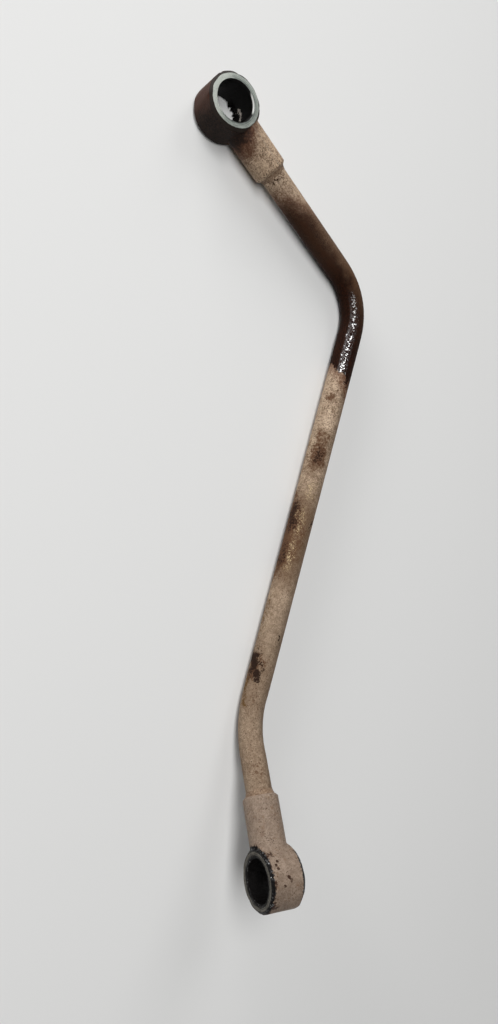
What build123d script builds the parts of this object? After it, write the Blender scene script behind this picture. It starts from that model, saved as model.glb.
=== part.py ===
from build123d import *
from math import asin, cos, degrees, radians, sin, sqrt
import os

# Oil delivery pipe: one steel tube with two bends, and a banjo eye brazed on each end.
# It lies as it comes to rest. The long middle run is along Y on the surface, the longer leg
# leans on the rim of its shank's end, and the shorter leg holds its ring up in the air.
# The origin is on the surface, under the centre of the pipe's outline. Millimetres, degrees.

# Tube, bent cold from one length. A leg runs from its ring's centre to its bend's corner.
tube_diameter = 8.0
tube_wall = 1.0
long_leg = 72.5
middle_run = 144.2
short_leg = 44.1

# Bends: the angle turned, the centreline's radius, and the angle between their two planes
long_leg_bend_angle = 63.7
long_leg_bend_radius = 20.0
short_leg_bend_angle = 29.2
short_leg_bend_radius = 32.0
bend_plane_angle = 114.7

# Banjo eyes, both of one pattern: a ring round the hollow bolt, and a shank for the tube
bolt_bore = 12.1
bolt_bore_edge = 0.35
ring_wall = 2.8
ring_edge = 0.85
face_rise = 0.1
shank_wall = 1.35
shank_length = 13.75
shank_edge = 0.7
passage_step = 0.5

# Each ring's turn about its leg, away from square to the plane of the bend beside it
long_leg_ring_angle = -0.5
short_leg_ring_angle = 30.7

# Socket for the tube's end, and the brazing metal that closes its mouth
socket_depth = 9.0
socket_clearance = 0.05
braze_land = 0.1
braze_length = 1.5
braze_feather = 0.1
braze_hollow = 0.15

tube_radius = tube_diameter / 2
tube_bore_radius = tube_radius - tube_wall
socket_radius = tube_radius + socket_clearance
shank_radius = socket_radius + shank_wall
passage_radius = tube_bore_radius - passage_step
bore_radius = bolt_bore / 2
ring_radius = bore_radius + ring_wall
face_radius = ring_radius - ring_edge
ring_width = 2 * (shank_radius + face_rise)
shank_reach = ring_radius + shank_length
socket_floor = shank_reach - socket_depth
braze_radius = shank_radius - shank_edge - braze_land


def leg_direction(bend, around, side):
    """Unit vector out along a leg, from its bend: side is 1 at the middle run's +Y end."""
    spread = sin(radians(bend))
    return Vector(
        spread * cos(radians(around)), side * cos(radians(bend)), spread * sin(radians(around))
    )


def bore_axis(around, leg, turn):
    """Unit vector along a ring's bore: square to the bend's plane, then turned about the leg."""
    square = Vector(-sin(radians(around)), 0, cos(radians(around)))
    return square.rotate(Axis((0, 0, 0), leg), turn)


def ring_reach(share):
    """Half a ring's size along a direction, from the bore axis's component along it."""
    across = sqrt(max(0.0, 1 - share**2))
    at_face = face_radius * across + ring_width / 2 * abs(share)
    at_rim = ring_radius * across + (ring_width / 2 - ring_edge) * abs(share)
    return max(at_face, at_rim)


# The pipe rolls about its middle run until the long leg meets the surface, with the rim
# of its ring or the rim of its shank's end, whichever needs the steeper climb.
# The legs are placed by their angle about the middle run, from +X up towards +Z.
shank_rim_reach = shank_reach - shank_edge
half_turn_angle = 180.0
rest_roll_angle = 0.0
for settle in range(12):
    long_leg_around = half_turn_angle - rest_roll_angle
    long_direction = leg_direction(long_leg_bend_angle, long_leg_around, 1)
    long_bore = bore_axis(long_leg_around, long_direction, long_leg_ring_angle)
    shank_drop = shank_radius * sqrt(1 - long_direction.Z**2)
    ring_climb = (ring_reach(long_bore.Z) - tube_radius) / long_leg
    shank_climb = (shank_drop - tube_radius) / (long_leg - shank_rim_reach)
    rest_roll_angle = degrees(asin(max(ring_climb, shank_climb) / sin(radians(long_leg_bend_angle))))

short_leg_around = long_leg_around - bend_plane_angle
short_direction = leg_direction(short_leg_bend_angle, short_leg_around, -1)
short_bore = bore_axis(short_leg_around, short_direction, short_leg_ring_angle)

# The outline's middle, worked out from the two rings, then puts the origin under it
long_reach = long_direction * long_leg
short_reach = short_direction * short_leg - Vector(0, middle_run, 0)
low_x = long_reach.X - ring_reach(long_bore.X)
high_x = max(tube_radius, short_reach.X + ring_reach(short_bore.X))
low_y = short_reach.Y - ring_reach(short_bore.Y)
high_y = long_reach.Y + ring_reach(long_bore.Y)

long_corner = Vector(-(low_x + high_x) / 2, -(low_y + high_y) / 2, tube_radius)
short_corner = long_corner - Vector(0, middle_run, 0)
long_centre = long_corner + long_direction * long_leg
short_centre = short_corner + short_direction * short_leg


def banjo_eye(centre, leg, bore):
    """Ring and shank in one piece, with the bolt's bore, the tube's socket and the oil passage."""
    across_faces = Plane(origin=centre - bore * (ring_width / 2), x_dir=leg, z_dir=bore)
    shank_end = Plane(origin=centre - leg * shank_reach, x_dir=bore, z_dir=leg)
    with BuildPart() as eye:
        with BuildSketch(across_faces):
            Circle(ring_radius)
        extrude(amount=ring_width)
        chamfer(eye.edges().filter_by(GeomType.CIRCLE), ring_edge)
        with BuildSketch(shank_end):
            Circle(shank_radius)
        extrude(amount=shank_reach)
        chamfer(eye.faces().sort_by(Axis(centre, leg))[0].edges(), shank_edge)
        with BuildSketch(across_faces):
            Circle(bore_radius)
        extrude(amount=ring_width, mode=Mode.SUBTRACT)
        chamfer(eye.edges(Select.LAST).filter_by(GeomType.CIRCLE), bolt_bore_edge)
        with BuildSketch(shank_end):
            Circle(socket_radius)
        extrude(amount=socket_depth, mode=Mode.SUBTRACT)
        with BuildSketch(shank_end):
            Circle(passage_radius)
        extrude(amount=shank_reach, mode=Mode.SUBTRACT)
    return eye


def braze_fillet(centre, leg, bore):
    """Ring of brazing metal in the corner between the shank's end and the tube."""
    along_leg = Plane(origin=centre - leg * shank_reach, x_dir=-leg, z_dir=bore)
    with BuildPart() as braze:
        with BuildSketch(along_leg):
            with BuildLine():
                seat = Line((0, braze_radius), (0, tube_radius))
                foot = Line(seat @ 1, (braze_length, tube_radius))
                feather = Line(foot @ 1, (braze_length, tube_radius + braze_feather))
                SagittaArc(feather @ 1, seat @ 0, braze_hollow)
            make_face()
        revolve(axis=Axis(centre, leg))
    return braze


with BuildPart() as pipe_tube:
    with BuildLine() as route:
        FilletPolyline(
            long_centre - long_direction * socket_floor,
            long_corner,
            short_corner,
            short_centre - short_direction * socket_floor,
            radius=[long_leg_bend_radius, short_leg_bend_radius],
        )
    with BuildSketch(Plane(origin=route.line @ 0, z_dir=route.line % 0)):
        Circle(tube_radius)
        Circle(tube_bore_radius, mode=Mode.SUBTRACT)
    sweep(path=route.line)

long_leg_banjo_eye = banjo_eye(long_centre, long_direction, long_bore)
short_leg_banjo_eye = banjo_eye(short_centre, short_direction, short_bore)
long_leg_braze_fillet = braze_fillet(long_centre, long_direction, long_bore)
short_leg_braze_fillet = braze_fillet(short_centre, short_direction, short_bore)

pipe_tube.part.label = "pipe_tube"
long_leg_banjo_eye.part.label = "long_leg_banjo_eye"
short_leg_banjo_eye.part.label = "short_leg_banjo_eye"
long_leg_braze_fillet.part.label = "long_leg_braze_fillet"
short_leg_braze_fillet.part.label = "short_leg_braze_fillet"

os.makedirs("parts", exist_ok=True)
export_step(pipe_tube.part, "parts/pipe_tube.step")
export_step(long_leg_banjo_eye.part, "parts/long_leg_banjo_eye.step")
export_step(short_leg_banjo_eye.part, "parts/short_leg_banjo_eye.step")
export_step(long_leg_braze_fillet.part, "parts/long_leg_braze_fillet.step")
export_step(short_leg_braze_fillet.part, "parts/short_leg_braze_fillet.step")
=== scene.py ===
import bmesh
import bpy
import numpy as np
from mathutils import Matrix


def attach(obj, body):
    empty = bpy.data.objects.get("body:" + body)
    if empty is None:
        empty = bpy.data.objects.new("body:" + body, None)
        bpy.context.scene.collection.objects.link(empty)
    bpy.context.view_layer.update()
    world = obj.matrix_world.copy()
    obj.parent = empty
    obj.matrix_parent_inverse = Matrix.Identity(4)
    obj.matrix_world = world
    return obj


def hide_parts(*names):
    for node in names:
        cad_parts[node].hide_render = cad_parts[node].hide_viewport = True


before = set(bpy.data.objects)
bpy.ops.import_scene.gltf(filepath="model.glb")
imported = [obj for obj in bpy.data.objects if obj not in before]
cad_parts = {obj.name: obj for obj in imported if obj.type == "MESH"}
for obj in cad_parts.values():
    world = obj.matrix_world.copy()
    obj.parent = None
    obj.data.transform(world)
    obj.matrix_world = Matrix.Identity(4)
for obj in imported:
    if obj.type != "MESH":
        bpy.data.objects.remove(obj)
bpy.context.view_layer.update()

# Pipe tube
# One length of 8 mm steel tube, cold bent twice on formers that flatten it a little in each bend.
# Its thin plating has aged to a mottled beige, and hot oil has baked onto it: a dark varnish over
# the first bend, and stains along the middle run. Sizes are in millimetres, and MM makes them metres.
MM = 0.001
tube_radius = 4.0
tube_bore_radius = 3.0
long_eye_centre = np.array([-36.4516, 107.8310, 6.0030])
short_eye_centre = np.array([38.1012, -106.9880, 23.2599])
long_corner = np.array([28.5128, 75.7082, 4.0])
short_corner = np.array([28.5128, -68.4918, 4.0])
bend_radii = (20.0, 32.0)
socket_floor = 13.6
bend_flattening = 0.05
bend_fade = 5.0
row_length = 0.5
tube_columns = 72


def unit(v):
    """v divided by its own length."""
    return v / np.linalg.norm(v, axis=-1, keepdims=True)


def turned(v, axis, angle):
    """v turned about a unit axis by each angle, by the cosine and sine of its part across the axis."""
    angle = np.asarray(angle)[..., None]
    along = axis * (axis @ v)
    return along + (v - along) * np.cos(angle) + np.cross(axis, v) * np.sin(angle)


def pipe_line(corners, radii, upright):
    """Centreline through four corners: each arc leaves its run at radius times the tangent of half the
    turn. Gives length so far, point, heading, and the section's upright, which turns with each arc and
    is the given one on the middle run. Also the length at which each arc starts and ends, and its axis."""
    heading = unit(np.diff(corners, axis=0))
    turn = np.arccos((heading[:-1] * heading[1:]).sum(1))
    axis = unit(np.cross(heading[:-1], heading[1:]))
    cut = radii * np.tan(turn / 2)
    runs = np.linalg.norm(np.diff(corners, axis=0), axis=1) - np.r_[0, cut] - np.r_[cut, 0]
    uprights = (turned(upright, axis[0], -turn[0]), upright, turned(upright, axis[1], turn[1]))
    length, start = 0.0, corners[0]
    parts, arcs = [], []
    for k in range(3):
        far = np.linspace(0, runs[k], int(runs[k] / row_length), endpoint=k == 2)[:, None]
        ones = np.ones_like(far)
        parts.append(np.hstack([
            length + far, start + far * heading[k], ones * heading[k], ones * uprights[k],
        ]))
        length += runs[k]
        start = start + runs[k] * heading[k]
        if k == 2:
            break
        swing = np.linspace(0, turn[k], int(radii[k] * turn[k] / row_length), endpoint=False)
        centre = start + radii[k] * np.cross(axis[k], heading[k])
        point = centre + turned(start - centre, axis[k], swing)
        lead = turn[0] if k == 0 else 0.0
        parts.append(np.hstack([
            length + radii[k] * swing[:, None], point, turned(heading[k], axis[k], swing),
            turned(upright, axis[k], swing - lead),
        ]))
        arcs.append((length, length + radii[k] * turn[k], axis[k]))
        length += radii[k] * turn[k]
        start = centre + turned(start - centre, axis[k], turn[k])
    line = np.vstack(parts)
    return line[:, 0], line[:, 1:4], line[:, 4:7], line[:, 7:10], arcs


def smooth(low, high, value):
    """Rises from 0 at low to 1 at high as three squares less two cubes."""
    t = np.clip((value - low) / (high - low), 0, 1)
    return t * t * (3 - 2 * t)


def grid_faces(rows, columns, close_rows=False):
    """Corners of the squares of a grid whose columns close up on themselves, and whose rows may too."""
    index = np.arange(rows * columns).reshape(rows, columns)
    down = np.roll(index, -1, 0) if close_rows else index[1:]
    here = index if close_rows else index[:-1]
    return np.stack([here, np.roll(here, -1, 1), np.roll(down, -1, 1), down], -1).reshape(-1, 4)


def make_piece(name, points, faces, place, sharp, finish, replaced):
    """A mesh object at the origin from points and a place for each, both in millimetres. Normals are
    turned outwards, and edges that turn by more than sharp degrees are kept crisp."""
    used, faces = np.unique(faces, return_inverse=True)
    mesh = bpy.data.meshes.new(name)
    mesh.from_pydata(points[used] * MM, [], faces.reshape(-1, 4))
    layer = mesh.attributes.new("place", "FLOAT_VECTOR", "POINT")
    layer.data.foreach_set("vector", place[used].astype(np.float32).ravel())
    shell = bmesh.new()
    shell.from_mesh(mesh)
    bmesh.ops.recalc_face_normals(shell, faces=shell.faces)
    shell.to_mesh(mesh)
    shell.free()
    mesh.shade_smooth()
    mesh.set_sharp_from_angle(angle=np.radians(sharp))
    mesh.materials.append(finish)
    piece = bpy.data.objects.new(name, mesh)
    bpy.context.scene.collection.objects.link(piece)
    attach(piece, "root")
    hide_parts(replaced)


def colour(red, green, blue):
    """Linear colour of a screen colour from 0 to 255, by the usual 2.4 power curve."""
    share = np.array([red, green, blue]) / 255
    return (*np.where(share > 0.04045, ((share + 0.055) / 1.055) ** 2.4, share / 12.92), 1.0)


def add(tree, kind, *values, **settings):
    """A node: settings are its own, and values go to its inputs in order, linked where they are outputs."""
    node = tree.nodes.new("ShaderNode" + kind)
    for name, setting in settings.items():
        setattr(node, name, setting)
    for socket, value in zip(node.inputs, values):
        if isinstance(value, bpy.types.NodeSocket):
            tree.links.new(value, socket)
        elif value is not None:
            socket.default_value = value
    return node


def sums(tree, operation, *values):
    """Output of a Math node."""
    return add(tree, "Math", *values, operation=operation).outputs[0]


def vectors(tree, operation, *values):
    """Output of a Vector Math node: the number for a length or a dot product, and else the vector."""
    node = add(tree, "VectorMath", *values, operation=operation)
    return node.outputs[1 if operation in ("LENGTH", "DOT_PRODUCT") else 0]


def rise(tree, value, low, high, start=0.0, end=1.0):
    """From start to end, smoothly, as value goes from low to high."""
    return add(tree, "MapRange", value, low, high, start, end, interpolation_type="SMOOTHSTEP").outputs[0]


def blend(tree, share, first, second):
    """The first colour turning to the second as share goes from 0 to 1."""
    node = add(tree, "Mix", share, data_type="RGBA")
    for socket, value in ((node.inputs[6], first), (node.inputs[7], second)):
        if isinstance(value, bpy.types.NodeSocket):
            tree.links.new(value, socket)
        else:
            socket.default_value = value
    return node.outputs[2]


def level(tree, share, first, second):
    """The first number turning to the second as share goes from 0 to 1."""
    return add(tree, "Mix", share, None, first, second, data_type="FLOAT").outputs[0]


def cloud(tree, place, scale, detail=3.0, rough=0.55, warp=0.0, colours=False):
    """Noise with about scale lumps to a millimetre."""
    node = add(tree, "TexNoise", place, None, scale, detail, rough)
    node.inputs["Distortion"].default_value = warp
    return node.outputs["Color" if colours else "Fac"]


def ragged(tree, place, scale, reach):
    """place pushed about by noise, so that an edge drawn from it wanders by up to about reach."""
    push = vectors(tree, "SUBTRACT", cloud(tree, place, scale, 4.0, 0.6, 0.0, True), (0.5, 0.5, 0.5))
    push = vectors(tree, "MULTIPLY", push, (2 * reach,) * 3)
    return vectors(tree, "ADD", place, push)


def blot(tree, place, along, around, long, wide, soft, strength=1.0):
    """An oval spot on the straightened tube: its centre is along the tube and around from the upright in
    degrees, and it fades over the share soft of its size."""
    angle = np.radians(around)
    centre = np.array([along, tube_radius * np.sin(angle), tube_radius * np.cos(angle)])
    shrink = np.array([1 / long, 1 / wide, 1 / wide])
    scaled = vectors(tree, "MULTIPLY_ADD", place, tuple(shrink), tuple(-centre * shrink))
    return rise(tree, vectors(tree, "LENGTH", scaled), 1 + soft, 1 - soft, 0.0, strength)


def spot(tree, place, centre, size, soft, strength=1.0):
    """A round spot about a point of the piece's own place, which fades over the share soft of its size."""
    gap = vectors(tree, "LENGTH", vectors(tree, "SUBTRACT", place, centre))
    return rise(tree, gap, size * (1 + soft), size * (1 - soft), 0.0, strength)


def most(tree, masks):
    """The largest of several masks."""
    total = masks[0]
    for mask in masks[1:]:
        total = sums(tree, "MAXIMUM", total, mask)
    return total


def start_finish(name):
    """A new material with its shader, and the place on the piece in millimetres."""
    material = bpy.data.materials.new(name)
    material.use_nodes = True
    tree = material.node_tree
    shader = tree.nodes["Principled BSDF"]
    place = add(tree, "Attribute", attribute_name="place").outputs["Vector"]
    return material, tree, shader, place


def patchy(tree, place, share, scale, gain=2.6):
    """share broken up by noise, so that a film gives out in islands and not in a smooth fade."""
    grain = cloud(tree, place, scale, 4.0, 0.65)
    shifted = sums(tree, "ADD", share, sums(tree, "MULTIPLY_ADD", grain, gain, -gain / 2))
    return rise(tree, shifted, 0.3, 0.7)


def baked_coat(tree, place, dirt, deep, pale):
    """Colour and height in millimetres of the aged plating. It is mottled at three sizes between a deep
    and a pale beige, with dark flecks and reddish freckles, which are more for more dirt, from 0 to 1."""
    wide = rise(tree, cloud(tree, place, 0.13, 2.0, 0.5), 0.35, 0.65)
    middle = cloud(tree, place, 0.65, 4.0, 0.62, 0.5)
    fine = cloud(tree, place, 2.3, 3.0, 0.7)
    share = sums(tree, "MULTIPLY", wide, 0.2)
    share = sums(tree, "MULTIPLY_ADD", rise(tree, middle, 0.36, 0.64), 0.36, share)
    share = sums(tree, "MULTIPLY_ADD", rise(tree, fine, 0.36, 0.64), 0.44, share)
    tint = blend(tree, share, colour(*deep), colour(*pale))
    extra = sums(tree, "MULTIPLY", dirt, 0.11)
    shifted = vectors(tree, "ADD", place, (5.0, 17.0, 9.0))
    flecks = sums(tree, "ADD", cloud(tree, shifted, 2.5, 3.0, 0.6), extra)
    tint = blend(tree, rise(tree, flecks, 0.64, 0.73, 0.0, 0.85), tint, colour(62, 44, 33))
    shifted = vectors(tree, "ADD", place, (31.0, 7.0, 3.0))
    freckles = sums(tree, "ADD", cloud(tree, shifted, 0.95, 4.0, 0.65), extra)
    tint = blend(tree, rise(tree, freckles, 0.62, 0.76, 0.0, 0.7), tint, colour(108, 84, 65))
    return tint, sums(tree, "MULTIPLY_ADD", fine, 0.05, sums(tree, "MULTIPLY", middle, 0.06))


def plates(tree, place, scale, tilt):
    """Height in millimetres of a dried film cracked into plates, about scale to a millimetre. Half the
    squared distance from a plate's middle, over the tube's radius, makes it flat across the tube. A random
    slope leans it, by up to tilt across the tube and half of that along it."""
    grid = vectors(tree, "MULTIPLY", place, (scale,) * 3)
    cells = add(tree, "TexVoronoi", grid)
    cells.inputs["Scale"].default_value = 1.0
    offset = vectors(tree, "SUBTRACT", grid, cells.outputs["Position"])
    slope = vectors(tree, "SUBTRACT", cells.outputs["Color"], (0.5, 0.5, 0.5))
    slope = vectors(tree, "MULTIPLY", slope, (tilt / scale, 2 * tilt / scale, 2 * tilt / scale))
    across = vectors(tree, "MULTIPLY", offset, (0.0, 1 / scale, 1 / scale))
    flat = sums(tree, "MULTIPLY", vectors(tree, "DOT_PRODUCT", across, across), 0.5 / tube_radius)
    return sums(tree, "ADD", vectors(tree, "DOT_PRODUCT", slope, offset), flat)


def finish_with(tree, shader, tint, roughness, height, metallic=0.0, gloss=0.0, shine=0.18, wetness=0.08):
    """Links the colour, roughness, metal and clear gloss to the shader, with bump from a height in
    millimetres under both. shine is the plain surface's reflection, and wetness the gloss's roughness."""
    bump = add(tree, "Bump")
    bump.inputs["Distance"].default_value = MM
    tree.links.new(height, bump.inputs["Height"])
    tree.links.new(bump.outputs[0], shader.inputs["Normal"])
    tree.links.new(bump.outputs[0], shader.inputs["Coat Normal"])
    shader.inputs["Coat Roughness"].default_value = wetness
    shader.inputs["Coat IOR"].default_value = 2.35
    shader.inputs["Specular IOR Level"].default_value = shine
    for name, value in (
        ("Base Color", tint), ("Roughness", roughness), ("Metallic", metallic), ("Coat Weight", gloss),
    ):
        if isinstance(value, bpy.types.NodeSocket):
            tree.links.new(value, shader.inputs[name])
        else:
            shader.inputs[name].default_value = value


def tube_finish():
    """Beige plating under baked oil: satin varnish on the long leg, wet and wrinkled round its bend, a
    brown scorch and round spots on the middle run, and sooty and orange stains before the short bend."""
    material, tree, shader, place = start_finish("aged_tube_steel")
    along = add(tree, "SeparateXYZ", place).outputs[0]
    dirt = most(tree, [
        blot(tree, place, 25.0, -50, 13.0, 5.0, 0.6, 0.95),
        blot(tree, place, 102.0, 20, 7.0, 5.0, 0.6, 1.0),
        blot(tree, place, 112.0, -10, 27.0, 9.0, 0.6, 0.85),
        blot(tree, place, 150.0, -40, 24.0, 9.0, 0.6, 0.75),
        blot(tree, place, 203.0, -20, 16.0, 9.0, 0.6, 0.85),
        blot(tree, place, 226.0, -20, 16.0, 9.0, 0.6, 0.85),
    ])
    dirt = sums(tree, "MAXIMUM", dirt, 0.42)
    tint, height = baked_coat(tree, place, dirt, (114, 94, 76), (197, 175, 151))
    tint = blend(tree, rise(tree, along, 160.0, 182.0, 0.0, 0.46), tint, colour(104, 87, 71))
    tint = blend(tree, rise(tree, along, 222.0, 232.0, 0.0, 0.2), tint, colour(104, 87, 71))
    # Painted shade: the right side of the tube made darker from the middle run on
    painted_shade_right_side = rise(tree, vectors(tree, "DOT_PRODUCT", place, (0.0, 1.0, 0.0)), -0.8, 2.6, 0.0, 0.42)
    painted_shade_right_side = sums(tree, "MULTIPLY", painted_shade_right_side, rise(tree, along, 90.0, 110.0))
    tint = blend(tree, painted_shade_right_side, tint, colour(98, 82, 68))
    rag = ragged(tree, ragged(tree, place, 0.3, 3.0), 1.4, 1.6)

    # Reddish and brown stains on the middle run
    shade = most(tree, [
        blot(tree, rag, 154.5, -50, 17.0, 6.0, 0.4, 0.85),
        blot(tree, rag, 126.4, -34, 8.0, 2.6, 0.7, 0.75),
        blot(tree, rag, 119.5, -40, 5.0, 3.6, 0.7, 0.35),
        blot(tree, rag, 200.0, -60, 9.0, 4.0, 0.6, 0.4),
    ])
    tint = blend(tree, shade, tint, colour(98, 77, 59))

    # Pale ripples in the film: arcs about one point, from the sine of the distance to it
    ripple_centre = (112.6, -0.6, 3.9)
    ripple = vectors(tree, "LENGTH", vectors(tree, "SUBTRACT", rag, ripple_centre))
    ripple = rise(tree, sums(tree, "SINE", sums(tree, "MULTIPLY", ripple, 6.6)), 0.2, 0.9)
    ripple = sums(tree, "MULTIPLY", ripple, blot(tree, place, 115.2, -24, 2.8, 2.4, 0.5, 0.85))
    tint = blend(tree, ripple, tint, colour(204, 182, 158))

    # Brown, orange and sooty stains, from the palest to the darkest
    brown = most(tree, [
        blot(tree, rag, 107.1, -42, 2.4, 1.3, 0.7, 0.66),
        blot(tree, rag, 102.6, 40, 5.0, 2.6, 0.6, 0.6),
        blot(tree, rag, 100.4, -18, 2.2, 1.4, 0.7, 0.5),
        blot(tree, rag, 104.2, -22, 1.0, 0.8, 0.5, 0.6),
        blot(tree, rag, 120.6, -58, 2.4, 1.5, 0.6, 0.62),
        blot(tree, rag, 121.0, -15, 2.0, 1.3, 0.6, 0.55),
        blot(tree, rag, 126.9, -36, 5.4, 3.1, 0.6, 0.75),
        blot(tree, rag, 142.0, -98, 5.0, 1.8, 0.6, 0.6),
        blot(tree, rag, 155.0, -96, 14.0, 4.8, 0.5, 0.85),
        blot(tree, rag, 155.0, -38, 10.0, 2.9, 0.6, 0.62),
        blot(tree, rag, 196.4, -76, 5.6, 2.9, 0.6, 0.72),
        blot(tree, rag, 207.0, -30, 4.0, 2.5, 0.6, 0.35),
        blot(tree, rag, 228.5, -30, 3.4, 2.4, 0.5, 0.36),
    ])
    tint = blend(tree, patchy(tree, place, brown, 1.2, 1.8), tint, colour(90, 65, 48))
    orange = most(tree, [
        blot(tree, rag, 182.0, -92, 11.0, 2.0, 0.6, 0.35),
        blot(tree, rag, 207.4, -84, 2.2, 1.0, 0.5, 0.85),
        blot(tree, rag, 202.0, -92, 2.8, 1.2, 0.5, 0.75),
        blot(tree, rag, 128.0, -110, 8.0, 1.8, 0.6, 0.4),
    ])
    tint = blend(tree, patchy(tree, place, orange, 1.1), tint, colour(94, 70, 44))
    scorch = most(tree, [
        blot(tree, rag, 126.9, -33, 3.9, 2.0, 0.8, 0.62),
        blot(tree, rag, 148.0, -80, 6.0, 2.2, 0.7, 0.7),
        blot(tree, rag, 161.0, -80, 6.0, 1.9, 0.7, 0.55),
        blot(tree, rag, 195.2, -80, 4.2, 2.3, 0.85, 1.0),
        blot(tree, rag, 199.2, -48, 2.8, 1.0, 0.6, 0.85),
        blot(tree, rag, 186.5, 4, 0.9, 0.6, 0.4, 1.0),
        blot(tree, rag, 188.6, 20, 0.8, 0.5, 0.4, 1.0),
        blot(tree, rag, 208.5, 48, 1.4, 0.7, 0.5, 0.9),
        blot(tree, rag, 112.6, -20, 0.45, 0.35, 0.5, 1.0),
        blot(tree, rag, 149.0, 30, 1.6, 0.7, 0.5, 0.8),
    ])
    tint = blend(tree, patchy(tree, place, scorch, 2.0, 2.0), tint, colour(41, 28, 21))

    # Painted highlight: golden glints along the film's cracks where the scorch is thickest, along the side
    # that faces up
    crackle = cloud(tree, place, 2.4, 4.0, 0.65, 1.2)
    painted_glint_area = most(tree, [
        blot(tree, rag, 149.7, -36, 4.8, 1.0, 0.6, 0.9),
        blot(tree, rag, 160.0, -39, 6.5, 1.0, 0.7, 0.75),
        blot(tree, rag, 139.0, -30, 3.4, 1.2, 0.6, 0.7),
    ])
    painted_gold_glint = sums(tree, "MULTIPLY", rise(tree, crackle, 0.53, 0.58), painted_glint_area)
    tint = blend(tree, painted_gold_glint, tint, colour(206, 184, 144))

    # Oil varnish, which starts thin and satin on the long leg and ends at a wet edge past the bend
    near_start = vectors(tree, "DOT_PRODUCT", rag, (1.0, -1.3, 0.0))
    near_end = vectors(tree, "DOT_PRODUCT", rag, (1.0, -0.62, -0.43))
    halo = rise(tree, near_end, 103.0, 98.0, 0.0, 0.8)
    halo = sums(tree, "MULTIPLY", halo, rise(tree, near_start, 28.5, 37.5))
    halo = sums(tree, "MULTIPLY", halo, rise(tree, cloud(tree, place, 2.0, 4.0, 0.7), 0.3, 0.6, 0.5, 1.0))
    tint = blend(tree, halo, tint, colour(98, 66, 50))
    begins = sums(tree, "MULTIPLY_ADD", cloud(tree, place, 2.2, 4.0, 0.7), 8.0, near_start)
    begins = rise(tree, begins, 35.5, 46.0)
    ends = rise(tree, near_end, 98.2, 97.8)
    varnish = sums(tree, "MULTIPLY", begins, ends)
    drips = patchy(tree, place, most(tree, [
        blot(tree, rag, 24.6, -30, 1.3, 3.0, 0.7, 0.45),
        blot(tree, rag, 100.6, 46, 2.0, 1.4, 0.5, 0.85),
    ]), 1.6)
    wet_film = varnish
    varnish = sums(tree, "MAXIMUM", varnish, drips)
    grain = rise(tree, cloud(tree, place, 4.0, 2.0, 0.7), 0.35, 0.68)
    satin = blend(tree, grain, colour(34, 21, 14), colour(68, 46, 33))
    satin = blend(tree, rise(tree, cloud(tree, place, 0.3, 3.0, 0.6), 0.4, 0.65), satin, colour(54, 33, 22))
    # Paler towards the tube's right side, up to the wet bend and fading out by 90 mm
    to_right = add(tree, "SeparateXYZ", rag).outputs[1]
    paler_right_side = sums(tree, "MULTIPLY", rise(tree, to_right, -2.8, 1.8, 0.0, 0.88), rise(tree, along, 90.0, 56.0))
    satin = blend(tree, paler_right_side, satin, blend(tree, grain, colour(70, 51, 38), colour(114, 92, 74)))
    wet = rise(tree, along, 52.0, 66.0)
    syrup = blend(tree, rise(tree, crackle, 0.42, 0.6), colour(20, 9, 5), colour(46, 23, 12))
    syrup = blend(tree, sums(tree, "MULTIPLY", paler_right_side, 0.7), syrup, colour(104, 78, 58))
    tint = blend(tree, varnish, tint, blend(tree, wet, satin, syrup))

    # The film has dried in small cracked plates, glossy on top where the oil pooled
    cracked = plates(tree, place, 2.1, 0.19)
    cracked = sums(tree, "MULTIPLY", cracked, rise(tree, along, 66.0, 90.0, 0.6, 1.0))
    film_height = level(tree, wet, sums(tree, "MULTIPLY", grain, 0.02), cracked)
    surface = level(tree, varnish, height, film_height)
    plain_rough = rise(tree, cloud(tree, place, 0.9, 3.0, 0.6), 0.3, 0.7, 0.58, 0.75)
    rough = level(tree, varnish, plain_rough, rise(tree, wet, 0.0, 1.0, 0.5, 0.65))
    topside = rise(tree, vectors(tree, "DOT_PRODUCT", place, (0.0, -0.44, 0.9)), 3.58, 3.86)
    pooled = sums(tree, "MULTIPLY", topside, rise(tree, along, 66.0, 86.0))
    islands = rise(tree, cloud(tree, place, 1.9, 3.0, 0.6), 0.42, 0.5, 0.1, 1.0)
    gloss = sums(tree, "MULTIPLY", wet_film, sums(tree, "MULTIPLY", pooled, islands))
    finish_with(tree, shader, tint, rough, surface, 0.0, gloss, 0.05, 0.07)
    return material


# The surface, from one socket's floor to the other's, a little narrower in the plane of each bend
corners = np.array([long_eye_centre, long_corner, short_corner, short_eye_centre])
floor_upright = np.array([0.0, 0.0, 1.0])
length, middle, heading, upright, arcs = pipe_line(corners, np.array(bend_radii), floor_upright)
inside = (length > socket_floor) & (length < length[-1] - socket_floor)
length, middle, heading, upright = length[inside], middle[inside], heading[inside], upright[inside]
sideways = np.cross(upright, heading)
around = np.linspace(-np.pi, np.pi, tube_columns, endpoint=False)
spoke = upright[:, None] * np.cos(around)[:, None] + sideways[:, None] * np.sin(around)[:, None]
flattening = np.zeros((len(length), tube_columns))
for start, end, axis in arcs:
    window = smooth(start - bend_fade, start + bend_fade, length)
    window = window * smooth(end + bend_fade, end - bend_fade, length)
    flattening += window[:, None] * bend_flattening * (1 - (spoke @ axis) ** 2)
outer = middle[:, None] + spoke * (tube_radius * (1 - flattening))[..., None]
inner = (middle[:, None] + spoke * tube_bore_radius)[::-1]
points = np.concatenate([outer, inner]).reshape(-1, 3)
far = np.repeat(np.concatenate([length, length[::-1]])[:, None], tube_columns, 1)
radius = np.repeat([tube_radius, tube_bore_radius], len(length))[:, None]
place = np.stack([far, radius * np.sin(around), radius * np.cos(around)], -1).reshape(-1, 3)
tube_faces = grid_faces(2 * len(length), tube_columns, True)
make_piece("bent_tube", points, tube_faces, place, 40, tube_finish(), "pipe_tube")

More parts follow.
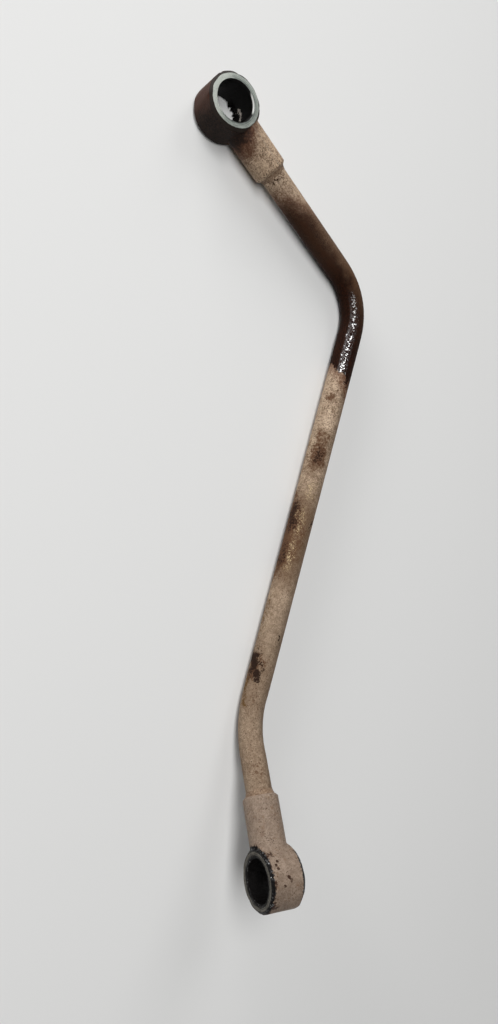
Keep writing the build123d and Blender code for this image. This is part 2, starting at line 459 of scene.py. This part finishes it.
# Banjo eyes
# Two alike: a machined ring for a hollow bolt, and a shank with a socket that takes the tube. Each is
# one steel piece, turned and drilled, with the oil's passage cut from the bore into the socket.
bore_radius = 6.05
bore_edge = 0.35
ring_radius = 8.85
ring_edge = 0.85
half_width = 5.5
shank_radius = 5.4
shank_reach = 22.6
shank_edge = 0.7
shank_rounding = 0.22
socket_radius = 4.05
passage_radius = 2.5
passage_step = 3.0
root_radius = 1.3
least_root = 0.05
nick_length = 0.45
nick_width = 0.5
nicks = ((-2.3, 4.9, 0.28), (2.2, 5.0, 0.32), (1.35, -4.9, 0.30), (-1.2, -5.0, 0.25), (2.9, 4.8, 0.22))
ring_columns = 120
patch_columns = 34
patch_rows = 12
patch_steps = 8
face_rows = 4
root_steps = 7
shank_steps = 17


def rounded(corners, radius, steps=3):
    """An open line of (distance, height) corners, each inner one cut back by radius and bridged by a
    quadratic curve through it."""
    corners = np.asarray(corners, float)
    line = [corners[:1]]
    t = np.linspace(0, 1, steps + 1)[:, None]
    for before, corner, after in zip(corners[:-2], corners[1:-1], corners[2:]):
        near = corner + unit(before - corner) * radius
        far = corner + unit(after - corner) * radius
        line.append((1 - t) ** 2 * near + 2 * t * (1 - t) * corner + t ** 2 * far)
    return np.vstack(line + [corners[-1:]])


def ring_outline(height):
    """The ring's outside radius at a height from its middle: the barrel's, less the broken edge."""
    return ring_radius - np.clip(np.abs(height) - (half_width - ring_edge), 0, ring_edge)


def eye_shell():
    """Points of the eye about its bore, x along the shank and z along the bore, and its faces. The ring is
    a profile turned about z. Under the shank and at the passage, a window of its grid gives way to a patch
    that runs straight, in angle and height, from the window's edge to the hole's rim. Rows round the shank
    then lead from one rim to the other: root, barrel, end, socket and passage."""
    bore_half = half_width - bore_edge
    bore_height = np.linspace(-bore_half, bore_half, patch_rows + 1)
    barrel_height = np.linspace(half_width, -half_width, patch_rows + 1)
    face_steps = np.linspace(bore_radius + bore_edge, ring_radius - ring_edge, face_rows + 1)
    profile = np.vstack([
        np.c_[np.full(patch_rows + 1, bore_radius), bore_height],
        np.c_[face_steps[:-1], np.full(face_rows, half_width)],
        np.c_[ring_outline(barrel_height), barrel_height],
        np.c_[face_steps[::-1][1:], np.full(face_rows, -half_width)],
    ])
    rows = len(profile)
    angle = np.arange(ring_columns) * 2 * np.pi / ring_columns
    angle = (angle + np.pi) % (2 * np.pi) - np.pi
    far, high = profile[:, :1], np.repeat(profile[:, 1:], ring_columns, 1)
    ring = np.stack([far * np.cos(angle), far * np.sin(angle), high], -1)
    index = np.arange(rows * ring_columns).reshape(rows, ring_columns)
    half = patch_columns // 2
    window = np.arange(-half, half + 1) % ring_columns
    faces = grid_faces(rows, ring_columns, True).reshape(rows, ring_columns, 4)
    keep = np.ones((rows, ring_columns), bool)
    bore_rows = np.arange(0, patch_rows + 1)
    barrel_rows = bore_rows + patch_rows + 1 + face_rows
    for span in (bore_rows, barrel_rows):
        keep[np.ix_(span[:-1], window[:-1])] = False
    all_faces = [faces[keep]]

    def edge_of(span):
        """The window's edge, in order round it: grid index, angle and height."""
        top, bottom = span[0], span[-1]
        cells = np.concatenate([
            index[top, window], index[span[1:], window[-1]],
            index[bottom, window[::-1]][1:], index[span[::-1][1:-1], window[0]],
        ])
        return cells, angle[cells % ring_columns], profile[cells // ring_columns, 1]

    edge_bore, angle_bore, height_bore = edge_of(bore_rows)
    edge_barrel, angle_barrel, height_barrel = edge_of(barrel_rows[::-1])
    count = len(edge_bore)
    reach = half * 2 * np.pi / ring_columns
    phi = np.arctan2(height_barrel / half_width, angle_barrel / reach)

    # Root curve: in each slice parallel to the faces, an arc that touches the ring and the shank's side
    height = shank_radius * np.sin(phi)
    side = np.abs(shank_radius * np.cos(phi))
    sign = np.sign(np.cos(phi))
    circle = ring_outline(height)
    root = root_radius * np.abs(np.cos(phi)) + least_root
    centre_x = np.sqrt(np.maximum((circle + root) ** 2 - (side + root) ** 2, 0.01))
    centre_y = side + root
    first = np.arctan2(-centre_y, -centre_x)
    shank = []
    for t in np.linspace(0, 1, root_steps):
        swing = first + t * (-np.pi / 2 - first)
        across = sign * (centre_y + root * np.sin(swing))
        shank.append(np.stack([centre_x + root * np.cos(swing), across, height], -1))
    end = rounded([
        (0, shank_radius), (shank_reach - shank_edge, shank_radius),
        (shank_reach, shank_radius - shank_edge), (shank_reach, socket_radius),
        (socket_floor, socket_radius),
    ], shank_rounding)[1:]

    def loop(far, radius):
        """A loop round the shank, at a distance from the bore's middle and a radius from the shank's."""
        return np.stack([np.broadcast_to(far, count), radius * np.cos(phi), radius * np.sin(phi)], -1)

    for t in np.linspace(0, 1, shank_steps)[1:-1]:
        shank.append(loop(centre_x * (1 - t) + end[0, 0] * t, shank_radius))
    passage = [(socket_floor, passage_radius), (socket_floor - passage_step, passage_radius)]
    for far, radius in np.vstack([end, passage]):
        shank.append(loop(far, radius))
    shank.append(loop(np.sqrt(bore_radius ** 2 - (passage_radius * np.cos(phi)) ** 2), passage_radius))
    shank = np.array(shank)

    def patch(edge_angle, edge_height, rim, outline):
        """Rows from the window's edge to the rim, straight in angle and height, laid on the ring."""
        rim_angle = np.arctan2(rim[:, 1], rim[:, 0])
        t = np.linspace(0, 1, patch_steps)[1:-1, None]
        turn = edge_angle * (1 - t) + rim_angle * t
        high = edge_height * (1 - t) + rim[:, 2] * t
        far = outline(high)
        return np.stack([far * np.cos(turn), far * np.sin(turn), high], -1)

    # The bore's window edge is taken in the order in which the barrel's goes round the shank
    phi_bore = np.arctan2(height_bore / bore_half, angle_bore / reach)
    mate = np.argsort(phi_bore)[np.argsort(np.argsort(phi))]
    outside = patch(angle_barrel, height_barrel, shank[0], ring_outline)
    within = patch(
        angle_bore[mate], height_bore[mate], shank[-1], lambda high: np.full_like(high, bore_radius),
    )
    chain = np.concatenate([outside, shank, within[::-1]])
    start = rows * ring_columns
    chain_index = start + np.arange(len(chain) * count).reshape(len(chain), count)
    chain_index = np.vstack([edge_barrel, chain_index, edge_bore[mate]])
    here, down = chain_index[:-1], chain_index[1:]
    all_faces.append(np.stack([here, np.roll(here, -1, 1), np.roll(down, -1, 1), down], -1).reshape(-1, 4))
    return np.vstack([ring.reshape(-1, 3), chain.reshape(-1, 3)]), np.vstack(all_faces)


def worn(shell, crust):
    """The shell with its barrel out of round by a few hundredths, nicks in its edges, and dried oil in
    the bore. The barrel's radius follows three sines of the angle. A nick has an angle, a height and a
    depth, and is a small Gaussian dip. The crust is a depth times a window round its own angle and the
    bore's lower end, cut jagged by sines."""
    x, y, z = shell.T
    far, angle = np.hypot(x, y), np.arctan2(y, x)
    barrel = smooth(6.6, 7.8, far) * (1 - smooth(5.0, 7.2, x))
    swell = 0.045 * (np.sin(3 * angle + 0.7) + np.sin(7 * angle + 2.0) + np.sin(13 * angle + 0.3 * z))
    for at, high, deep in nicks:
        gap = ((angle - at) * ring_radius / nick_length) ** 2 + ((z - high) / nick_width) ** 2
        swell -= deep * np.exp(-gap)
    jagged = 0.55 + 0.4 * np.sin(23 * angle + 1.9) + 0.3 * np.sin(37 * angle + 0.4)
    jagged += 0.15 * np.sin(9 * angle)
    window = smooth(0.55, 0.75, angle) * (1 - smooth(1.6, 1.95, angle)) * (1 - smooth(-4.9, -3.6, z))
    inside = 1 - smooth(bore_radius + 0.1, bore_radius + 0.3, far)
    swell = swell * barrel - crust * jagged * window * inside
    scale = 1 + swell / np.maximum(far, 1.0)
    return np.stack([x * scale, y * scale, z], -1)


def eye_finish(name, greasy):
    """Turned faces and bore of bare steel, and the rough barrel and shank under baked oil. On the greasy
    eye, wet black oil covers the face that shows, its edge and the bore."""
    material, tree, shader, place = start_finish(name)
    x, y, z = add(tree, "SeparateXYZ", place).outputs
    far = vectors(tree, "LENGTH", add(tree, "CombineXYZ", x, y, 0.0).outputs[0])
    rag = ragged(tree, ragged(tree, place, 0.4, 2.4), 1.7, 1.5)
    rag_x, rag_y, rag_z = add(tree, "SeparateXYZ", rag).outputs
    rag_far = vectors(tree, "LENGTH", add(tree, "CombineXYZ", rag_x, rag_y, 0.0).outputs[0])
    off_middle = sums(tree, "ABSOLUTE", z)
    on_face = rise(tree, off_middle, half_width - 0.12, half_width - 0.04)
    in_bore = rise(tree, far, bore_radius + 0.45, bore_radius + 0.3)
    grain = cloud(tree, place, 4.0, 2.0, 0.7)
    wander = cloud(tree, place, 0.35, 2.0, 0.5)
    ring_step = sums(tree, "MULTIPLY_ADD", far, 3.0, sums(tree, "MULTIPLY", wander, 2.5))
    ring_place = add(tree, "CombineXYZ", ring_step, sums(tree, "MULTIPLY", wander, 3.0), 0.0).outputs[0]
    turned_rings = cloud(tree, ring_place, 1.0, 3.0, 0.7)
    black = blend(tree, rise(tree, grain, 0.4, 0.65), colour(3, 2, 2), colour(9, 6, 5))
    if greasy:
        dirt = rise(tree, cloud(tree, place, 0.25, 2.0), 0.4, 0.6, 0.3, 0.8)
        tint, height = baked_coat(tree, place, dirt, (106, 90, 77), (145, 128, 113))
        creep = most(tree, [
            sums(tree, "MULTIPLY", rise(tree, rag_z, 3.9, 4.9, 0.0, 0.8), rise(tree, rag_far, 9.8, 8.8)),
            spot(tree, rag, (6.4, -6.6, 4.2), 1.3, 0.6, 0.7),
            spot(tree, rag, (-7.2, -5.2, 4.3), 1.3, 0.5),
            spot(tree, rag, (-0.9, -8.7, -0.5), 0.8, 0.5, 0.8),
            spot(tree, place, (3.3, -8.2, 3.2), 0.5, 0.5, 0.95),
            spot(tree, place, (4.2, -7.8, 2.4), 0.45, 0.5, 0.9),
            spot(tree, place, (2.3, -8.5, 2.8), 0.45, 0.5, 0.85),
            spot(tree, place, (-0.3, -8.8, 0.1), 0.55, 0.5),
            spot(tree, place, (-2.3, -8.5, 1.7), 0.5, 0.5, 0.9),
        ])
        smudge = spot(tree, rag, (12.1, -4.3, 3.3), 0.9, 0.5, 0.5)
        tint = blend(tree, smudge, tint, colour(92, 70, 54))
        tint = blend(tree, patchy(tree, place, creep, 1.3), tint, colour(52, 35, 26))

        # Oil from the face that shows, over its edge, with a narrower fringe at the other face
        fringe = sums(tree, "MULTIPLY", cloud(tree, place, 1.5, 4.0, 0.65), 1.3)
        front = rise(tree, sums(tree, "ADD", fringe, z), 5.35, 5.45)
        front = sums(tree, "MULTIPLY", front, rise(tree, far, 9.4, 9.1))
        back = rise(tree, sums(tree, "SUBTRACT", fringe, z), 5.0, 5.15)
        back = sums(tree, "MULTIPLY", back, rise(tree, x, 7.0, 5.0))
        oil = most(tree, [front, back, rise(tree, far, bore_radius + 0.8, bore_radius + 0.6)])
        # Painted sheen: a lighter grey band on the oily face, broken up by the rings left by the tool
        painted_sheen_band = sums(tree, "MULTIPLY", rise(tree, far, 6.5, 6.8), rise(tree, far, 8.0, 7.6))
        painted_sheen_band = sums(tree, "MULTIPLY", painted_sheen_band, on_face)
        painted_sheen_band = sums(tree, "MULTIPLY", painted_sheen_band, rise(tree, turned_rings, 0.4, 0.6))
        tint = blend(tree, oil, tint, blend(tree, painted_sheen_band, black, colour(96, 92, 84)))
        beads = cloud(tree, place, 1.0, 1.0, 0.5, 0.4)
        wall = sums(tree, "MULTIPLY", in_bore, rise(tree, z, 5.12, 4.95))
        edges = rise(tree, cloud(tree, place, 1.5, 2.0, 0.5), 0.54, 0.7, 0.0, 0.85)
        film = level(tree, on_face, edges, rise(tree, beads, 0.52, 0.62, 0.0, 0.15))
        gloss = sums(tree, "MULTIPLY", oil, film)
        gloss = sums(tree, "MULTIPLY", gloss, sums(tree, "SUBTRACT", 1.0, wall))
        surface = level(tree, oil, height, sums(tree, "MULTIPLY", beads, 0.3))
        finish_with(tree, shader, tint, 0.55, surface, 0.0, gloss, 0.1)
        return material
    dirt = most(tree, [
        spot(tree, place, (22.0, 0.0, 4.0), 7.0, 0.6),
        spot(tree, place, (14.0, -3.0, 4.0), 8.0, 0.6, 0.85),
    ])
    dirt = sums(tree, "MAXIMUM", dirt, 0.7)
    tint, height = baked_coat(tree, place, dirt, (108, 87, 68), (196, 172, 146))

    # Brown film over the barrel, which runs out in rags along the shank's left side
    edge = vectors(tree, "DOT_PRODUCT", rag, (1.0, 1.15, -0.35))
    speckle = cloud(tree, place, 1.8, 4.0, 0.7)
    stain = rise(tree, sums(tree, "MULTIPLY_ADD", speckle, -10.0, edge), 7.2, 0.4)
    tint = blend(tree, stain, tint, colour(84, 56, 41))
    baked = rise(tree, sums(tree, "MULTIPLY_ADD", speckle, -7.0, edge), 3.0, -0.6)
    film = blend(tree, rise(tree, speckle, 0.36, 0.66), colour(10, 5, 4), colour(42, 27, 19))
    # Painted light: the film lighter and redder on the barrel's side away from the shank, which faces the
    # light
    film = blend(tree, rise(tree, rag_x, -1.0, -7.5, 0.0, 0.9), film, colour(64, 39, 29))
    tint = blend(tree, baked, tint, film)

    # Bare turned face with rings left by the tool and dark pits, and a painted reflection that makes it
    # lighter towards the left
    bright = blend(tree, rise(tree, turned_rings, 0.3, 0.7), colour(88, 94, 91), colour(158, 163, 156))
    # Painted reflection: the bare face lighter towards the left
    shine = rise(tree, vectors(tree, "DOT_PRODUCT", rag, (-0.9, -0.45, 0.0)), 1.0, 6.0, 0.0, 0.7)
    bright = blend(tree, shine, bright, colour(182, 186, 178))
    bright = blend(tree, rise(tree, grain, 0.6, 0.7, 0.0, 0.85), bright, colour(48, 44, 38))
    tint = blend(tree, on_face, tint, bright)
    rim = rise(tree, sums(tree, "MULTIPLY_ADD", wander, 0.5, far), 8.08, 8.22)
    rim = sums(tree, "MULTIPLY", rim, rise(tree, off_middle, 4.5, 4.8))
    rim = sums(tree, "MULTIPLY", rim, rise(tree, x, 8.4, 7.6))
    tint = blend(tree, rim, tint, colour(36, 30, 26))
    tint = blend(tree, in_bore, tint, black)

    # Painted glints in the bore, and a painted highlight on its lip
    painted_bore_glints = most(tree, [spot(tree, rag, at, size, 0.4) for at, size in (
        ((4.9, 3.6, -1.5), 0.7), ((4.4, 4.15, -2.0), 0.7), ((3.8, 4.7, -2.3), 0.6), ((2.6, 5.4, -2.8), 0.6),
    )])
    tint = blend(tree, painted_bore_glints, tint, colour(222, 212, 202))
    # Painted highlight: a pale line on part of the bore's lip
    painted_lip_highlight = rise(tree, far, bore_radius + 0.4, bore_radius + 0.3)
    painted_lip_highlight = sums(tree, "MULTIPLY", painted_lip_highlight, rise(tree, z, 5.12, 5.22))
    to_shank = vectors(tree, "DOT_PRODUCT", place, (0.64, 0.77, 0.0))
    painted_lip_highlight = sums(tree, "MULTIPLY", painted_lip_highlight, rise(tree, to_shank, 5.3, 5.9))
    tint = blend(tree, painted_lip_highlight, tint, colour(204, 204, 200))
    metal = sums(tree, "MULTIPLY", on_face, sums(tree, "SUBTRACT", 1.0, in_bore))
    surface = level(tree, metal, height, sums(tree, "MULTIPLY", turned_rings, 0.02))
    rough = level(tree, metal, 0.55, 0.36)
    finish_with(tree, shader, tint, rough, surface, sums(tree, "MULTIPLY", metal, 0.8), 0.0, 0.1)
    return material


def carried(shell, centre, corner, bore):
    """The shell's points at a ring's centre, with its shank pointing at the bend's corner."""
    shank_way = unit(corner - centre)
    return centre + shell @ np.array([shank_way, np.cross(bore, shank_way), bore])


# The long leg's eye has more crust in its bore, and the short leg's is the greasy one
long_bore = unit(np.array([0.026951, -0.007823, 0.999606]))
short_bore = unit(np.array([-0.968357, -0.249073, -0.015751]))
long_leg = (long_eye_centre, long_corner, long_bore)
short_leg = (short_eye_centre, short_corner, short_bore)
for name, leg, crust, finish, greasy, replaced in (
    ("long_leg_eye", long_leg, 1.1, "turned_eye_steel", False, "long_leg_banjo_eye"),
    ("short_leg_eye", short_leg, 0.15, "oily_eye_steel", True, "short_leg_banjo_eye"),
):
    shell, faces = eye_shell()
    shell = worn(shell, crust)
    points = carried(shell, *leg)
    make_piece(name, points, faces, shell, 32, eye_finish(finish, greasy), replaced)

# Braze fillets
# Brass run into the corner between each shank's end and the tube, and left as it flowed. It has the same
# aged skin as the steel beside it, a little darker where soot sits in the corner.
braze_radius = 4.6
braze_length = 1.5
braze_feather = 0.03
braze_tuck = 0.2
braze_bite = 0.1


def braze_shell():
    """Profile from the shank's end down a hollow curve to the tube, carried round the tube, with a foot
    that wanders by a few tenths. Along the curve, with t from 0 to 1, the length goes by t to the power
    1.3 and the radius by t to the power 0.75. The rest of it is inside the shank and the tube."""
    around = np.linspace(0, 2 * np.pi, tube_columns, endpoint=False)
    foot = braze_length + 0.18 * np.sin(3 * around + 0.6) + 0.10 * np.sin(7 * around + 2.1)
    t = np.linspace(0, 1, 9)
    hollow = braze_radius + (tube_radius + braze_feather - braze_radius) * t ** 0.75
    radius = np.r_[tube_radius - braze_bite, braze_radius, hollow, tube_radius - braze_bite][:, None]
    back = np.full((2, tube_columns), shank_reach - braze_tuck)
    far = np.vstack([back, shank_reach + t[:, None] ** 1.3 * foot, shank_reach + foot])
    points = np.stack([far, radius * np.cos(around), radius * np.sin(around)], -1)
    return points.reshape(-1, 3), grid_faces(len(far), tube_columns, True)


def braze_finish():
    """The aged skin with a darker, speckled band."""
    material, tree, shader, place = start_finish("aged_braze")
    tint, height = baked_coat(tree, place, 0.9, (112, 91, 72), (168, 145, 121))
    soot = rise(tree, cloud(tree, place, 1.3, 4.0, 0.7), 0.38, 0.6, 0.15, 0.65)
    tint = blend(tree, soot, tint, colour(82, 60, 46))
    finish_with(tree, shader, tint, 0.62, height)
    return material


aged_braze = braze_finish()
for name, leg, replaced in (
    ("long_leg_braze", long_leg, "long_leg_braze_fillet"),
    ("short_leg_braze", short_leg, "short_leg_braze_fillet"),
):
    shell, faces = braze_shell()
    make_piece(name, carried(shell, *leg), faces, shell, 50, aged_braze, replaced)

# Floor, light and camera
# A plain pale floor that runs into a pale backdrop. Three soft lamps: a strip overhead, a window beyond
# the top of the picture and a low one on the left. The camera stands where the photograph's stood.
floor_reach = 20.0
floor_mesh = bpy.data.meshes.new("floor")
floor_corners = [(x * floor_reach, y * floor_reach, 0) for x, y in ((-1, -1), (1, -1), (1, 1), (-1, 1))]
floor_mesh.from_pydata(floor_corners, [], [(0, 1, 2, 3)])
floor = bpy.data.objects.new("floor", floor_mesh)
bpy.context.scene.collection.objects.link(floor)
floor_paint = bpy.data.materials.new("pale_floor")
floor_paint.use_nodes = True
paint_tree = floor_paint.node_tree
floor_shader = paint_tree.nodes["Principled BSDF"]
floor_shader.inputs["Base Color"].default_value = colour(221, 221, 220)
floor_shader.inputs["Roughness"].default_value = 0.8
floor_shader.inputs["Specular IOR Level"].default_value = 0.1
floor_mesh.materials.append(floor_paint)


def seen_directly(tree):
    """1 for what the camera sees, straight or in a reflection, and 0 for what only lights."""
    path = add(tree, "LightPath").outputs
    return most(tree, [path["Is Camera Ray"], path["Is Glossy Ray"], path["Is Transmission Ray"]])


# Away from the pipe the floor turns into an even pale backdrop, which gives no light
floor_place = add(paint_tree, "TexCoord").outputs["Object"]
far_off = rise(paint_tree, vectors(paint_tree, "LENGTH", floor_place), 0.18, 0.65)
backdrop = add(paint_tree, "Emission", colour(227, 227, 226), seen_directly(paint_tree))
blended = add(paint_tree, "MixShader", far_off, floor_shader.outputs[0], backdrop.outputs[0])
paint_tree.links.new(blended.outputs[0], paint_tree.nodes["Material Output"].inputs["Surface"])

# The room is as pale as the backdrop and dark overhead, and lights the pipe only faintly
room_light = 0.078
world = bpy.data.worlds.new("studio")
bpy.context.scene.world = world
world.use_nodes = True
sky = world.node_tree
sky_height = add(sky, "SeparateXYZ", add(sky, "TexCoord").outputs["Generated"]).outputs[2]
room_seen = rise(sky, sky_height, 0.55, 0.8, 1.0, 0.04)
room_strength = level(sky, seen_directly(sky), room_light, room_seen)
sky.nodes["Background"].inputs["Color"].default_value = colour(227, 227, 226)
sky.links.new(room_strength, sky.nodes["Background"].inputs["Strength"])


def softbox(name, at, target, along, width, length, watts):
    """A lamp width by length metres at a point, facing target, with its length lying as along says."""
    lamp = bpy.data.lights.new(name, "AREA")
    lamp.shape = "RECTANGLE"
    lamp.size = width
    lamp.size_y = length
    lamp.energy = watts
    away = unit(np.array(at) - np.array(target))
    across = unit(np.cross(along, away))
    turn = np.eye(4)
    turn[:3, :3] = np.array([across, np.cross(away, across), away]).T
    turn[:3, 3] = at
    box = bpy.data.objects.new(name, lamp)
    box.matrix_world = Matrix(turn)
    bpy.context.scene.collection.objects.link(box)


softbox("ceiling_strip", (-0.25, 0.06, 0.80), (0.0, 0.02, 0.0), (-0.12, 0.64, 0.0), 0.22, 0.80, 5.8)
softbox("far_window", (0.40, 1.80, 1.10), (0.0, 0.0, 0.0), (1.0, 0.0, 0.0), 1.5, 0.8, 10.0)
softbox("left_window", (-0.75, 0.85, 0.25), (0.0, 0.0, 0.0), (0.75, 0.66, 0.0), 0.25, 0.9, 10.0)

# The lens in pixels, the way right and up, and the place in millimetres are as fitted to the photograph
lens_pixels = 769.99
frame_height = 1024
view = bpy.data.cameras.new("view")
view.sensor_fit = "VERTICAL"
view.sensor_height = 36.0
view.lens = lens_pixels * view.sensor_height / frame_height
view.clip_start = 0.01
camera = bpy.data.objects.new("view", view)
right = unit(np.array([0.822182, 0.261796, 0.505450]))
up = np.array([-0.304120, 0.952633, 0.001279])
up = unit(up - right * (up @ right))
pose = np.eye(4)
pose[:3, :3] = np.array([right, up, np.cross(right, up)]).T
pose[:3, 3] = np.array([-106.004, -42.944, 210.499]) * MM
camera.matrix_world = Matrix(pose)
bpy.context.scene.collection.objects.link(camera)
bpy.context.scene.camera = camera
bpy.context.scene.view_settings.view_transform = "Standard"
